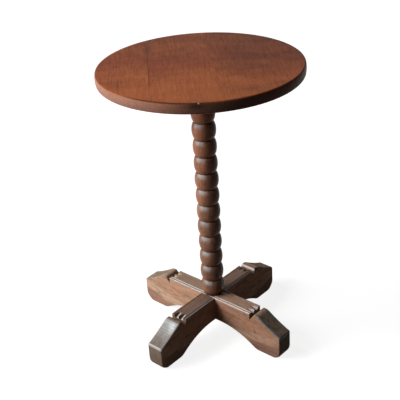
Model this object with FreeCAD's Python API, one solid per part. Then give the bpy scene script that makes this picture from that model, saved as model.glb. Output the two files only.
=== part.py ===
import FreeCAD, Part
import math
import os

from FreeCAD import Vector

# Side table: a round top on a bobbin-turned column that stands on two crossed
# sledge feet. Millimetres, +Z up. The origin is on the floor under the column,
# +X runs along the upper foot beam and +Y along the lower one.

# Driving dimensions of the whole table
table_height = 605.0
top_diameter = 400.0
foot_length = 382.0

# Round top, glued up from three boards
top_thickness = 21.0
joint_shares = (-0.49, 0.125)
board_turn = 45.0
board_names = ("top_board_left", "top_board_middle", "top_board_right")

# Cleat across the boards, under the top
cleat_length = 280.0
cleat_width = 70.0
cleat_thickness = 22.0
cleat_bevel_run = 18.0
cleat_bevel_drop = 11.0

# Turned column
bead_count = 13
bead_diameter = 49.5
groove_diameter = 41.0
column_neck = 2.5
tenon_diameter = 24.0

# Wedges driven into the ends of both tenons
wedge_thick_end = 3.6
wedge_thin_end = 1.2
wedge_depth_share = 0.68

# Foot beams
beam_width = 38.0
beam_height = 86.0
arch_height = 30.5
arch_flat = 64.0
arch_foot_share = 0.12
sole_inner = 136.0
toe_height = 55.0
toe_hollow = 2.0
toe_chamfer = 3.0
under_radius = 20.0
crest_length = 10.0
crest_easing = 3.0

# Stop-cut notch between the level strip and the toe
notch_inset = 78.0
notch_depth = 17.0
notch_run = 11.0

# Scratch bead along both edges of the strip
bead_radius = 2.2
quirk_inset = 4.4
quirk_width = 2.4
quirk_depth = 1.8

# Gouge flutes in the end of each strip
flute_spacing = 12.4
flute_radius = 5.6
flute_length = 15.0
flute_depth = 5.5

# Fits, how far a cutter runs past the wood, and how near a picked edge must lie
glue_clearance = 0.1
overrun = 5.0
pick_reach = 0.05

# Levels that follow from the sizes above
top_under = table_height - top_thickness
column_top = top_under - cleat_thickness
column_foot = beam_height
lap_level = (beam_height + arch_height) / 2
bead_pitch = (column_top - column_foot - column_neck) / bead_count
notch_wall = foot_length / 2 - notch_inset

UP = Vector(0, 0, 1)
CENTRE = Vector(0, 0, 0)


def save(shape, node):
    """Write one sub-part after a check that it is a sound solid."""
    if not shape.isValid() or shape.Volume <= 0:
        raise ValueError(node + " is not a sound solid")
    shape.exportStep("parts/" + node + ".step")
    print(node, len(shape.Solids), "solid", round(shape.Volume), "mm3")


def solid_of_revolution(edges):
    """Turn a closed outline in the XZ plane round the Z axis."""
    return Part.Face(Part.Wire(edges)).revolve(CENTRE, UP, 360)


def line(start, end):
    return Part.LineSegment(start, end).toShape()


def arc(start, middle, end):
    return Part.Arc(start, middle, end).toShape()


def polygon_prism(points, along):
    """Extrude a closed polygon along a vector."""
    return Part.Face(Part.makePolygon(points + points[:1])).extrude(along)


def block(low, high):
    """Box between two opposite corners."""
    size = high - low
    return Part.makeBox(size.x, size.y, size.z, low)


def turned_to_boards(shape):
    """Turn a shape drawn square to the boards' joints to their real place."""
    turned = shape.copy()
    turned.rotate(CENTRE, UP, board_turn)
    return turned


# Round top and its cleat

def top_boards():
    """Cut a disc along its glue joints."""
    disc = Part.makeCylinder(top_diameter / 2, top_thickness, Vector(0, 0, top_under))
    reach = top_diameter / 2 + overrun
    joints = [share * top_diameter / 2 for share in joint_shares]
    edges = [-reach] + joints + [reach]
    boards = []
    for left, right in zip(edges, edges[1:]):
        low = Vector(left, -reach, top_under - overrun)
        high = Vector(right, reach, table_height + overrun)
        boards.append(disc.common(turned_to_boards(block(low, high))))
    return boards


def cleat():
    """Batten with bevelled ends, bored for the column's tenon."""
    half = cleat_length / 2
    side = cleat_width / 2
    shoulder = half - cleat_bevel_run
    outline = [
        Vector(-half, -side, top_under),
        Vector(-half, -side, column_top + cleat_bevel_drop),
        Vector(-shoulder, -side, column_top),
        Vector(shoulder, -side, column_top),
        Vector(half, -side, column_top + cleat_bevel_drop),
        Vector(half, -side, top_under),
    ]
    batten = turned_to_boards(polygon_prism(outline, Vector(0, cleat_width, 0)))
    return batten.cut(tenon_bore(column_top - overrun, top_under + overrun))


# Column and wedges

def bead_edges(foot):
    """One bead's outline: two arcs of one circle, from groove to groove."""
    groove = groove_diameter / 2
    half = bead_pitch / 2
    swell = bead_diameter / 2 - groove
    radius = (half ** 2 + swell ** 2) / (2 * swell)
    quarter = math.asin(half / radius) / 2
    out = bead_diameter / 2 - radius * (1 - math.cos(quarter))
    up = radius * math.sin(quarter)
    widest = Vector(bead_diameter / 2, 0, foot + half)
    return [
        arc(Vector(groove, 0, foot), Vector(out, 0, widest.z - up), widest),
        arc(widest, Vector(out, 0, widest.z + up), Vector(groove, 0, foot + bead_pitch)),
    ]


def column():
    """Column of beads between a short neck and the two round tenons."""
    groove = groove_diameter / 2
    tenon = tenon_diameter / 2
    beads_foot = column_foot + column_neck
    outline = [
        line(Vector(0, 0, arch_height), Vector(tenon, 0, arch_height)),
        line(Vector(tenon, 0, arch_height), Vector(tenon, 0, column_foot)),
        line(Vector(tenon, 0, column_foot), Vector(groove, 0, column_foot)),
        line(Vector(groove, 0, column_foot), Vector(groove, 0, beads_foot)),
    ]
    for index in range(bead_count):
        outline += bead_edges(beads_foot + index * bead_pitch)
    outline += [
        line(Vector(groove, 0, column_top), Vector(tenon, 0, column_top)),
        line(Vector(tenon, 0, column_top), Vector(tenon, 0, top_under)),
        line(Vector(tenon, 0, top_under), Vector(0, 0, top_under)),
        line(Vector(0, 0, top_under), Vector(0, 0, arch_height)),
    ]
    body = solid_of_revolution(outline)
    return body.cut(Part.Compound([foot_wedge_plate(overrun), head_wedge_plate(overrun)]))


def tenon_bore(low, high):
    """Bore for a round tenon between two levels."""
    radius = tenon_diameter / 2 + glue_clearance
    return Part.makeCylinder(radius, high - low, Vector(0, 0, low))


def wedge_plate(depth, reach):
    """Tapered plate that stands on z = 0, thick end down, thin across Y."""
    thick = wedge_thick_end / 2
    thin = wedge_thin_end / 2
    outline = [
        Vector(-reach, -thick, 0),
        Vector(-reach, thick, 0),
        Vector(-reach, thin, depth),
        Vector(-reach, -thin, depth),
    ]
    return polygon_prism(outline, Vector(2 * reach, 0, 0))


def foot_wedge_plate(extra):
    """Plate of the lower wedge, set across the grain of the lower beam."""
    depth = wedge_depth_share * (column_foot - arch_height)
    plate = wedge_plate(depth, tenon_diameter / 2 + extra)
    plate.translate(UP * arch_height)
    return plate


def head_wedge_plate(extra):
    """Plate of the upper wedge, set across the grain of the cleat."""
    depth = wedge_depth_share * cleat_thickness
    plate = wedge_plate(depth, tenon_diameter / 2 + extra)
    plate.rotate(CENTRE, Vector(1, 0, 0), 180)
    plate.rotate(CENTRE, UP, 90)
    plate.translate(UP * top_under)
    return turned_to_boards(plate)


def foot_wedge():
    tenon = Part.makeCylinder(tenon_diameter / 2, beam_height - arch_height, Vector(0, 0, arch_height))
    return foot_wedge_plate(overrun).common(tenon)


def head_wedge():
    tenon = Part.makeCylinder(tenon_diameter / 2, cleat_thickness, Vector(0, 0, column_top))
    return head_wedge_plate(overrun).common(tenon)


# Foot beams, drawn along X with the side outline in the XZ plane

def arch_edges(at):
    """Two tangent arcs from the flat of the arch down to the sole."""
    start = arch_flat / 2
    run = sole_inner - start
    turn = 2 * math.atan(arch_height / run)
    both = run / math.sin(turn)
    foot = arch_foot_share * both
    crown = both - foot

    def on_crown(angle):
        return at(start + crown * math.sin(angle), arch_height - crown * (1 - math.cos(angle)))

    def on_foot(angle):
        return at(sole_inner - foot * math.sin(angle), foot * (1 - math.cos(angle)))

    return [
        arc(at(start, arch_height), on_crown(turn / 2), on_crown(turn)),
        arc(on_foot(turn), on_foot(turn / 2), at(sole_inner, 0)),
    ]


def toe_outline(way):
    """Outline of one half, from the flat of the arch round to the notch."""
    tip = foot_length / 2
    crest_end = notch_wall + notch_run + crest_length

    def at(reach, level):
        return Vector(way * reach, -beam_width / 2, level)

    corner = under_radius * (1 - math.cos(math.radians(45)))
    hollow_middle = at((crest_end + tip) / 2, (beam_height + toe_height) / 2)
    slope = at(tip, toe_height) - at(crest_end, beam_height)
    inward = slope.cross(Vector(0, way, 0)).normalize()
    return arch_edges(at) + [
        line(at(sole_inner, 0), at(tip - under_radius, 0)),
        arc(at(tip - under_radius, 0), at(tip - corner, corner), at(tip, under_radius)),
        line(at(tip, under_radius), at(tip, toe_height)),
        arc(at(tip, toe_height), hollow_middle - inward * toe_hollow, at(crest_end, beam_height)),
        line(at(crest_end, beam_height), at(notch_wall + notch_run, beam_height)),
        line(at(notch_wall + notch_run, beam_height), at(notch_wall, beam_height - notch_depth)),
        line(at(notch_wall, beam_height - notch_depth), at(notch_wall, beam_height)),
    ]


def beam_blank():
    """Beam sawn to its side outline."""
    side = -beam_width / 2
    strip = line(Vector(notch_wall, side, beam_height), Vector(-notch_wall, side, beam_height))
    crown = line(Vector(-arch_flat / 2, side, arch_height), Vector(arch_flat / 2, side, arch_height))
    edges = toe_outline(1) + [strip] + toe_outline(-1)[::-1] + [crown]
    return Part.Face(Part.Wire(edges)).extrude(Vector(0, beam_width, 0))


def edges_where(shape, test):
    """Edges whose two ends both pass a test."""
    return [edge for edge in shape.Edges if all(test(vertex.Point) for vertex in edge.Vertexes)]


def eased_toes(blank):
    """Round the nose and the crest, then chamfer the toes' upper edges."""
    nose = notch_wall + notch_run
    crest_end = nose + crest_length

    def on_turn(point):
        reach = abs(point.x)
        level = abs(point.z - beam_height) < pick_reach
        return level and min(abs(reach - nose), abs(reach - crest_end)) < pick_reach

    turns = [edge for edge in edges_where(blank, on_turn) if abs(edge.Length - beam_width) < pick_reach]
    rounded = blank.makeFillet(crest_easing, turns)

    def on_toe_top(point):
        on_side = abs(abs(point.y) - beam_width / 2) < pick_reach
        return on_side and point.z > toe_height - pick_reach and abs(point.x) > nose - crest_easing

    toe_tops = [edge for edge in edges_where(rounded, on_toe_top) if edge.BoundBox.YLength < pick_reach]
    return rounded.makeChamfer(toe_chamfer, toe_tops)


def beaded_strip(beam):
    """Round the strip's long edges and cut a quirk beside each."""
    side = beam_width / 2

    def on_edge(point):
        on_side = abs(abs(point.y) - side) < pick_reach
        on_top = abs(point.z - beam_height) < pick_reach
        return on_side and on_top and abs(point.x) < notch_wall + pick_reach

    long_edges = [edge for edge in edges_where(beam, on_edge) if edge.BoundBox.XLength > beam_width]
    rounded = beam.makeFillet(bead_radius, long_edges)
    quirks = []
    for way in (-1, 1):
        middle = way * (side - quirk_inset - quirk_width / 2)
        outline = [
            Vector(-notch_wall, middle - quirk_width / 2, beam_height),
            Vector(-notch_wall, middle, beam_height - quirk_depth),
            Vector(-notch_wall, middle + quirk_width / 2, beam_height),
        ]
        quirks.append(polygon_prism(outline, Vector(2 * notch_wall, 0, 0)))
    return rounded.cut(Part.Compound(quirks))


def flute(way, aside):
    """Gouge that comes in level with the strip and deepens towards the notch."""
    slope = math.atan2(flute_depth, flute_length)
    heading = Vector(way * math.cos(slope), 0, -math.sin(slope))
    lift = Vector(way * math.sin(slope), 0, math.cos(slope)) * flute_radius
    start = Vector(way * (notch_wall - flute_length), aside, beam_height) + lift
    reach = (flute_length + notch_run / 2) / math.cos(slope)
    return Part.makeCylinder(flute_radius, reach + overrun, start - heading * overrun, heading)


def foot_beam():
    """Beam with eased toes, beaded strip and fluted ends."""
    beam = beaded_strip(eased_toes(beam_blank()))
    flutes = []
    for way in (-1, 1):
        for aside in (-flute_spacing / 2, flute_spacing / 2):
            flutes.append(flute(way, aside))
    return beam.cut(Part.Compound(flutes))


def lap_slot(low, high):
    """Slot that takes the other beam, between two levels."""
    reach = beam_width / 2
    return block(Vector(-reach, -reach - overrun, low), Vector(reach, reach + overrun, high))


def foot_beams():
    """Upper beam along X and lower beam along Y, halved into each other."""
    bore = tenon_bore(arch_height - overrun, beam_height + overrun)
    beam = foot_beam()
    upper = beam.cut(Part.Compound([lap_slot(arch_height - overrun, lap_level), bore]))
    lower = beam.cut(Part.Compound([lap_slot(lap_level, beam_height + overrun), bore]))
    lower.rotate(CENTRE, UP, 90)
    return upper, lower


def main():
    os.makedirs("parts", exist_ok=True)
    for board, name in zip(top_boards(), board_names):
        save(board, name)
    save(cleat(), "top_cleat")
    save(column(), "column")
    save(head_wedge(), "head_wedge")
    save(foot_wedge(), "foot_wedge")
    upper, lower = foot_beams()
    save(upper, "foot_beam_upper")
    save(lower, "foot_beam_lower")


main()
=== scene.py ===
import math
import random

import bmesh
import bpy
from bpy.props import FloatProperty, FloatVectorProperty, IntProperty, PointerProperty
from mathutils import Matrix, Vector


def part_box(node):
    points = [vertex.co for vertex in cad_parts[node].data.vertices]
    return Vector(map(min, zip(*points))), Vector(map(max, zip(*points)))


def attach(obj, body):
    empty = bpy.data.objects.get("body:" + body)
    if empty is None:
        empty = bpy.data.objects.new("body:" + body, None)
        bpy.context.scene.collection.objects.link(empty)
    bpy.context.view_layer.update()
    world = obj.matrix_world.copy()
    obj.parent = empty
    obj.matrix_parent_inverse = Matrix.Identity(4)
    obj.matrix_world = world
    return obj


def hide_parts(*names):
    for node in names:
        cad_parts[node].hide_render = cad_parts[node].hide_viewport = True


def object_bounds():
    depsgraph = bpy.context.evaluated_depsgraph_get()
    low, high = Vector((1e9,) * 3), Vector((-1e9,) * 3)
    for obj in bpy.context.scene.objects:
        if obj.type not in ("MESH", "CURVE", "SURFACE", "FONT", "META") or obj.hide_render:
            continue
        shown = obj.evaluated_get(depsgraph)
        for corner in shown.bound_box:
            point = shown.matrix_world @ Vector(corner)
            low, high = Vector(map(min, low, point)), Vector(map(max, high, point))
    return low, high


# Side table with a round top of three boards, a bobbin-turned column and two
# crossed sledge feet. Metres, +Z up, the floor at zero, the column on the Z axis.
# The boards' joints run "away" from the front, and "aside" is across them.

bl_info = {
    "name": "Bobbin Side Table",
    "version": (1, 0, 0),
    "blender": (4, 5, 0),
    "location": "View3D > Sidebar > Side Table",
    "description": "Builds a round side table on a bobbin-turned column with crossed sledge feet",
    "category": "Add Mesh",
}

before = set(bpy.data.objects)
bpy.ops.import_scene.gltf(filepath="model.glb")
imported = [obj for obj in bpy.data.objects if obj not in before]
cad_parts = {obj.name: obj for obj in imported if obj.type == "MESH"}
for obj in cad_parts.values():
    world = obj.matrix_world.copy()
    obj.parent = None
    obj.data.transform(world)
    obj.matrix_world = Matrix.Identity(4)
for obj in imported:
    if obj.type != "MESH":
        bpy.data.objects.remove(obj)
cad_low, cad_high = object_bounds()

MM = 0.001
TOUCH = 0.02 * MM  # points closer than this count as being in one place
FIT_GAP = 0.05 * MM  # how much wider a bore or a lap is than what it holds
OVERRUN = 10 * MM  # how far a cutter reaches past what it cuts
BORE_SIDES = 96
BEAD_SIDES = 128
RIM_SIDES = 288
FLOOR_SIDES = 96
BODY = "root"
BOARD_NODES = ("top_board_left", "top_board_middle", "top_board_right")
BOARD_TURN = math.radians(45)
LOWER_FOOT_TURN = math.radians(-90)
WINDOW_SIDE = math.radians(-79)  # the side of the column that faces the window
FOOT_MIDDLE = 40 * MM  # parts the points of a foot's upper side from those below
# Places of the cleat's screws, as shares of its half length and half width
SCREW_PLACES = ((-0.8, -0.5), (-0.8, 0.5), (-0.35, -0.5), (0.35, 0.5), (0.8, -0.5), (0.8, 0.5))
SCREW_TURN = math.radians(37)  # each screw's slot is turned this much more than the last

top_low, top_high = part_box("top_board_middle")
cleat_low, cleat_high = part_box("top_cleat")
column_low, column_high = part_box("column")
beam_low, beam_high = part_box("foot_beam_upper")


def mm(*values):
    """Millimetres as the scene's metres."""
    return [value * MM for value in values]


def size(name, description, millimetres):
    """A length property, given in millimetres."""
    return FloatProperty(name=name, description=description, default=millimetres * MM, unit="LENGTH")


def portion(name, description, default):
    """A property that is a share or a ratio."""
    return FloatProperty(name=name, description=description, default=default, subtype="FACTOR")


def stain(name, description, red, green, blue):
    """A colour property, given as the 0 to 255 values of a paint chart."""
    linear = [(value / 255) ** 2.2 for value in (red, green, blue)]
    return FloatVectorProperty(
        name=name, description=description, subtype="COLOR", size=3, default=linear)


class TopSizes(bpy.types.PropertyGroup):
    radius: FloatProperty(
        name="Radius", description="From the axis to the rim's widest line",
        default=cad_high.x, unit="LENGTH")
    belly: size("Rim belly", "How far the rim swells between its two edges", 1.2)
    arris: size("Rim arris", "Rounding of the top's two edges", 2.6)
    left_joint: size("Left joint", "Place of the left glue joint across the boards", -98)
    right_joint: size("Right joint", "Place of the right glue joint across the boards", 25)
    joint_edge: size("Joint edge", "Easing of the boards' edges along the joints", 0.25)


class ColumnSizes(bpy.types.PropertyGroup):
    bead_count: IntProperty(name="Beads", description="Number of turned beads", default=13)
    bead_radius: size("Bead radius", "Radius of a bead at its widest", 24.6)
    groove_radius: size("Groove radius", "Radius at the bottom of the grooves", 19)
    stretch: portion("Bead stretch", "How far a bead's ellipse would reach past its grooves", 1.04)
    neck: size("Neck", "Plain neck under the lowest bead", 2.5)
    tenon_radius: size("Tenon radius", "Radius of the round tenons", 12)
    tenon_drop: size("Tenon drop", "How far the tenon's end stands back from its wedge", 0.4)
    unevenness: size("Unevenness", "How much the hand-turned beads differ in radius", 0.25)

    @property
    def start(self):
        """Level of the lowest groove."""
        return beam_high.z + self.neck

    @property
    def pitch(self):
        """Height of one bead."""
        return (cleat_low.z - self.start) / self.bead_count


class FootSizes(bpy.types.PropertyGroup):
    arch_flat: size("Arch flat", "Length of the level middle of the arch", 64)
    arch_foot_share: portion("Arch foot share", "Share of the arch's outline in its lower arc", 0.12)
    sole_start: size("Sole start", "Where the sole begins, from the axis", 136)
    under_radius: size("Under radius", "Rounding of a back toe's lower corner", 20)
    front_under_radius: size("Front under radius", "Rounding of a front toe's lower corner", 16)
    toe_height: size("Toe height", "Height of the toe's end", 55)
    toe_hollow: size("Toe hollow", "How far the toe's slope is hollowed", 2)
    toe_roll: size("Toe roll", "Width of the rolled edges of the toe's slope", 3.6)
    toe_end: size("Toe end", "Rounding round the toe's end face", 2.6)
    toe_corner: size("Toe corner", "Rounding of the toe's lower corners across its width", 7)
    nose_easing: size("Nose easing", "Reach of the rounding at the notch's nose", 2)
    crest_easing: size("Crest easing", "Reach of the rounding where the slope starts", 5)
    crest_length: size("Crest length", "Level crest between the notch and the slope", 10)
    notch_wall: size("Notch wall", "Where the beaded strip ends, from the axis", 113)
    notch_run: size("Notch run", "Length of the notch's slope", 11)
    notch_depth: size("Notch depth", "Depth of the notch at its wall", 17)
    bead_radius: size("Edge bead radius", "Radius of the scratched bead along the strip", 2.2)
    quirk_depth: size("Quirk depth", "Depth of the quirk beside the edge bead", 2)
    quirk_width: size("Quirk width", "Width of the quirk's slope", 2.4)
    lower_arris: size("Lower arris", "Rounding of the foot's lower edges", 1.2)
    flute_spacing: size("Flute spacing", "Distance between the two gouged flutes", 12.4)
    flute_radius: size("Flute radius", "Radius of the gouge", 5.6)
    flute_length: size("Flute length", "Length of a flute along the strip", 15)
    flute_depth: size("Flute depth", "Depth of a flute at the notch", 5.5)

    @property
    def nose(self):
        """Where the notch's slope ends, from the axis."""
        return self.notch_wall + self.notch_run

    @property
    def crest(self):
        """Where the level crest ends and the toe's slope starts, from the axis."""
        return self.nose + self.crest_length

    @property
    def quirk(self):
        """Where the quirk starts beside the edge bead, from the foot's middle plane."""
        return beam_high.y - 2 * self.bead_radius - 0.2 * MM


class CleatSizes(bpy.types.PropertyGroup):
    length: size("Length", "Length of the cleat across the boards", 280)
    width: size("Width", "Width of the cleat", 70)
    bevel_run: size("Bevel run", "Length of the bevel at each end", 18)
    bevel_drop: size("Bevel drop", "Height of the bevel at each end", 11)
    arris: size("Arris", "Easing of the cleat's edges", 1)
    screw_radius: size("Screw radius", "Radius of the countersunk heads", 4.2)
    screw_height: size("Screw height", "Height of the countersunk heads", 2.6)
    screw_taper: portion("Screw taper", "Width of a head's inner end, as a share of its face", 0.55)
    screw_depth: size("Screw depth", "How far the heads lie under the wood", 0.5)
    screw_slot: size("Screw slot", "Width and depth of the slot", 1.3)


class WoodColours(bpy.types.PropertyGroup):
    top_brown: stain("Top brown", "Body colour of the round top", 134, 67, 40)
    # Top orange also stands for painted light bounced from the floor, on the rim's lowest edge and the lower
    # part of each bead.
    top_orange: stain("Top orange", "Paler figure of the round top", 170, 94, 54)
    top_dark: stain("Top dark", "Smudges, joints and pores of the round top", 56, 32, 28)
    # Rim pink is a painted highlight on the rim's upper part, and rim mauve is painted shade on its lower
    # part.
    rim_lit_pink: stain("Rim pink", "Upper part of the rim, rubbed pale", 156, 114, 95)
    rim_shaded_mauve: stain("Rim mauve", "Lower part of the rim, greyed with age", 145, 109, 99)
    column_brown: stain("Column brown", "Body colour of the column", 132, 83, 62)
    column_orange: stain("Column orange", "Paler streaks of the column", 172, 116, 88)
    # Groove dark is partly old polish and partly painted shade in the grooves.
    groove_polish_and_shade: stain("Groove dark", "Old polish in the column's grooves", 44, 27, 22)
    foot_brown: stain("Foot brown", "Body colour of the feet", 156, 123, 102)
    foot_orange: stain("Foot orange", "Warm figure of the feet", 170, 131, 107)
    foot_red: stain("Foot red", "Reddish old polish left on the feet's sides", 154, 92, 66)
    foot_pale: stain("Foot pale", "Worn pale wood of the feet", 188, 158, 136)
    foot_mauve: stain("Foot mauve", "Darker band along the foot's lower edge", 133, 101, 89)
    foot_grey: stain("Foot grey", "Rubbed grey wood on the toes' slopes", 119, 107, 94)
    # Foot dark is also painted shade in the quirks and on the flutes' walls turned from the window.
    foot_dark_and_shade: stain("Foot dark", "Grain lines and quirks of the feet", 50, 36, 30)
    # Worn edge is also a painted highlight: pale lines where the feet's edges catch the light.
    worn_edge_and_highlight: stain("Worn edge", "Rubbed edges of the beaded strips", 196, 193, 191)
    # Wax bloom is a painted highlight: a cool sheen on the beads' lit shoulders and on a toe's slope.
    painted_sheen: stain("Wax bloom", "Cool bloom of the wax on the beads and a toe's slope", 166, 170, 172)
    cleat_brown: stain("Cleat brown", "Unpolished wood under the top", 128, 96, 70)
    wedge_brown: stain("Wedge brown", "Pale hard wood of the wedges", 150, 114, 82)
    steel_grey: stain("Steel grey", "Dull steel of the screws", 120, 118, 114)


class StageSettings(bpy.types.PropertyGroup):
    window_power: FloatProperty(
        name="Window", description="Wide window at the left, in watts", default=75)
    pane_power: FloatProperty(
        name="High pane", description="Bright pane high at the left, in watts", default=12)
    room_light: FloatProperty(name="Room", description="Even light of the room", default=0.026)
    floor_tone: portion("Floor tone", "Tone of the pale floor", 0.14)


# Selecting and shaping

def leave_edit():
    """Back to object mode with nothing selected."""
    if bpy.context.mode != "OBJECT":
        bpy.ops.object.mode_set(mode="OBJECT")
    bpy.ops.object.select_all(action="DESELECT")


def select_only(piece):
    leave_edit()
    piece.select_set(True)
    bpy.context.view_layer.objects.active = piece


def edit(piece, action="DESELECT"):
    """Edit mode on one piece. The next helper that needs object mode leaves it again."""
    select_only(piece)
    bpy.ops.object.mode_set(mode="EDIT")
    bpy.ops.mesh.select_mode(type="VERT")
    bpy.ops.mesh.select_all(action=action)


def pick(test):
    """Select the points whose place passes a test."""
    bpy.ops.mesh.select_all(action="DESELECT")
    shape = bmesh.from_edit_mesh(bpy.context.edit_object.data)
    found = [point for point in shape.verts if test(point.co)]
    for point in found:
        point.select = True
    shape.select_flush(True)
    bmesh.update_edit_mesh(bpy.context.edit_object.data)
    if not found:
        raise RuntimeError("nothing lies where a cut or a move was meant")


def pick_edges(test):
    """Select the edges whose two ends pass a test together."""
    bpy.ops.mesh.select_all(action="DESELECT")
    shape = bmesh.from_edit_mesh(bpy.context.edit_object.data)
    for edge in shape.edges:
        if test(edge.verts[0].co, edge.verts[1].co):
            edge.select_set(True)
    bmesh.update_edit_mesh(bpy.context.edit_object.data)


def near(first, second):
    return abs(first - second) < TOUCH


def even_steps(start, end, count):
    return [start + (end - start) * index / count for index in range(count + 1)]


def slice_at(place, normal, **clearing):
    """Cut the whole piece in edit mode with a plane."""
    bpy.ops.mesh.select_all(action="SELECT")
    bpy.ops.mesh.bisect(plane_co=place, plane_no=normal, **clearing)


def lift(height, test):
    """Lift the points whose place passes a test."""
    if height:
        pick(test)
        bpy.ops.transform.translate(value=(0, 0, height))


def widen(ratio, level):
    """Widen or narrow the picked points at a level."""
    bpy.ops.transform.resize(value=(ratio, ratio, 1), center_override=(0, 0, level))


def draw_ring(length, ratio, level):
    """Draw the picked ring out to a level, and widen or narrow it there."""
    bpy.ops.mesh.extrude_region_move(TRANSFORM_OT_translate={"value": (0, 0, length)})
    widen(ratio, level)


def settle(piece, name):
    """Name a piece and put its place into its mesh."""
    select_only(piece)
    bpy.ops.object.transform_apply(location=True, rotation=True, scale=True)
    piece.name = name
    return piece


def block(name, low, high):
    leave_edit()
    low, high = Vector(low), Vector(high)
    bpy.ops.mesh.primitive_cube_add(size=1, location=(low + high) / 2, scale=high - low)
    return settle(bpy.context.object, name)


def rod(name, radius, start, end, sides=48):
    """Round bar between two points."""
    leave_edit()
    start, end = Vector(start), Vector(end)
    turn = (end - start).to_track_quat("Z", "Y").to_euler()
    bpy.ops.mesh.primitive_cylinder_add(
        vertices=sides, radius=radius, depth=(end - start).length,
        location=(start + end) / 2, rotation=turn)
    return settle(bpy.context.object, name)


def modify(piece, kind, **settings):
    """Put one modifier on a piece and apply it."""
    select_only(piece)
    modifier = piece.modifiers.new(kind.lower(), kind)
    for name, value in settings.items():
        setattr(modifier, name, value)
    bpy.ops.object.modifier_apply(modifier=modifier.name)


def drawn_up(name, sides, profile):
    """Open round shape, drawn up ring by ring through pairs of radius and level."""
    leave_edit()
    radius, level = profile[0]
    bpy.ops.mesh.primitive_circle_add(vertices=sides, radius=radius, location=(0, 0, level))
    piece = settle(bpy.context.object, name)
    edit(piece, "SELECT")
    for next_radius, next_level in profile[1:]:
        draw_ring(next_level - level, next_radius / radius, next_level)
        radius, level = next_radius, next_level
    return piece


def cut_away(piece, cutters):
    """Cut other shapes out of a piece and throw them away."""
    for cutter in cutters:
        modify(piece, "BOOLEAN", operation="DIFFERENCE", solver="EXACT", object=cutter)
    for cutter in cutters:
        bpy.data.objects.remove(cutter, do_unlink=True)


def ease(piece, width, segments=3, angle=40):
    """Round every edge sharper than an angle."""
    modify(
        piece, "BEVEL", width=width, segments=segments,
        limit_method="ANGLE", angle_limit=math.radians(angle))


def smooth(piece, angle=32):
    """Smooth shading up to an angle, with the flat faces kept flat."""
    select_only(piece)
    bpy.ops.object.shade_smooth_by_angle(angle=math.radians(angle))
    modify(piece, "WEIGHTED_NORMAL", keep_sharp=True)


def clean(piece):
    """Merge doubles and turn every face outwards."""
    edit(piece, "SELECT")
    bpy.ops.mesh.remove_doubles(threshold=0.005 * MM)
    bpy.ops.mesh.normals_make_consistent(inside=False)


def copy_of(piece, name):
    """A copy with its own mesh."""
    select_only(piece)
    bpy.ops.object.duplicate(linked=False)
    twin = bpy.context.object
    twin.name = name
    return twin


def turned(piece, angle):
    """Turn a piece round the Z axis and keep the turn in its mesh."""
    piece.rotation_euler.z = angle
    return settle(piece, piece.name)


def finish_piece(piece, material, nodes=()):
    """Give a piece its material and body, and the solids that it stands for."""
    leave_edit()
    piece.data.materials.clear()
    piece.data.materials.append(material)
    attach(piece, BODY)
    if nodes:
        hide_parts(*nodes)


# Materials

class Nodes:
    """A node tree in the making: each call adds nodes and gives back their output."""

    def __init__(self, tree):
        self.tree = tree
        tree.nodes.clear()

    def add(self, kind, *values, settings=None, **inputs):
        """Add a node: values go into its sockets in their order, and inputs by name."""
        node = self.tree.nodes.new("ShaderNode" + kind)
        for name, value in (settings or {}).items():
            setattr(node, name, value)
        for socket, value in zip(node.inputs, values):
            self.feed(socket, value)
        for name, value in inputs.items():
            self.feed(node.inputs[name.replace("_", " ")], value)
        return node

    def feed(self, socket, value):
        if isinstance(value, bpy.types.NodeSocket):
            self.tree.links.new(value, socket)
        else:
            socket.default_value = value

    def math(self, operation, *values):
        return self.add("Math", *values, settings={"operation": operation}).outputs[0]

    def chain(self, operation, values):
        """Join values from left to right by one operation."""
        result = values[0]
        for value in values[1:]:
            result = self.math(operation, result, value)
        return result

    def times(self, *values):
        return self.chain("MULTIPLY", values)

    def plus(self, *values):
        return self.chain("ADD", values)

    def largest(self, *values):
        return self.chain("MAXIMUM", values)

    def less(self, first, second):
        return self.math("SUBTRACT", first, second)

    def rest(self, share):
        """What a share leaves of 1."""
        return self.less(1.0, share)

    def distance(self, value, centre):
        return self.math("ABSOLUTE", self.less(value, centre))

    def length(self, *values):
        """Distance from the place at which all values are zero."""
        return self.math("SQRT", self.plus(*(self.math("POWER", value, 2.0) for value in values)))

    def spread(self, value, low, high, to_low=0.0, to_high=1.0, course="LINEAR"):
        """Stretch of a value from one range to another, clamped."""
        settings = {"interpolation_type": course, "clamp": True}
        return self.add(
            "MapRange", settings=settings, Value=value,
            From_Min=low, From_Max=high, To_Min=to_low, To_Max=to_high).outputs[0]

    def fade(self, value, low, high):
        """0 at low and 1 at high, whichever of the two is larger, with soft ends."""
        limits = (low, high, 0.0, 1.0) if low < high else (high, low, 1.0, 0.0)
        return self.spread(value, *limits, "SMOOTHSTEP")

    def band(self, value, centre, half, soft):
        """1 within half of a centre, falling to 0 over soft."""
        return self.fade(self.distance(value, centre), half + soft, half)

    def step(self, value, place, low, high):
        """Fade between two distances from a place, both in millimetres."""
        return self.fade(value, place + low * MM, place + high * MM)

    def stripe(self, value, place, off, half, soft):
        """Band at a distance from a place, all in millimetres."""
        return self.band(value, place + off * MM, half * MM, soft * MM)

    def blend(self, share, first, second):
        """Number between two others, by a share."""
        return self.plus(self.times(first, self.rest(share)), self.times(second, share))

    def mix(self, share, first, second):
        """Colour between two others, by a share."""
        node = self.add("Mix", settings={"data_type": "RGBA"})
        sockets = (node.inputs[0], node.inputs[6], node.inputs[7])
        for socket, value in zip(sockets, (share, first, second)):
            plain = isinstance(value, (float, bpy.types.NodeSocket))
            self.feed(socket, value if plain else (*value, 1.0))
        return node.outputs[2]

    def looked_at(self):
        """1 where the camera, a gloss or a clear piece looks, 0 where light is gathered."""
        path = self.add("LightPath")
        return self.largest(*(path.outputs[f"Is {ray} Ray"] for ray in ("Camera", "Glossy", "Transmission")))


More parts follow.
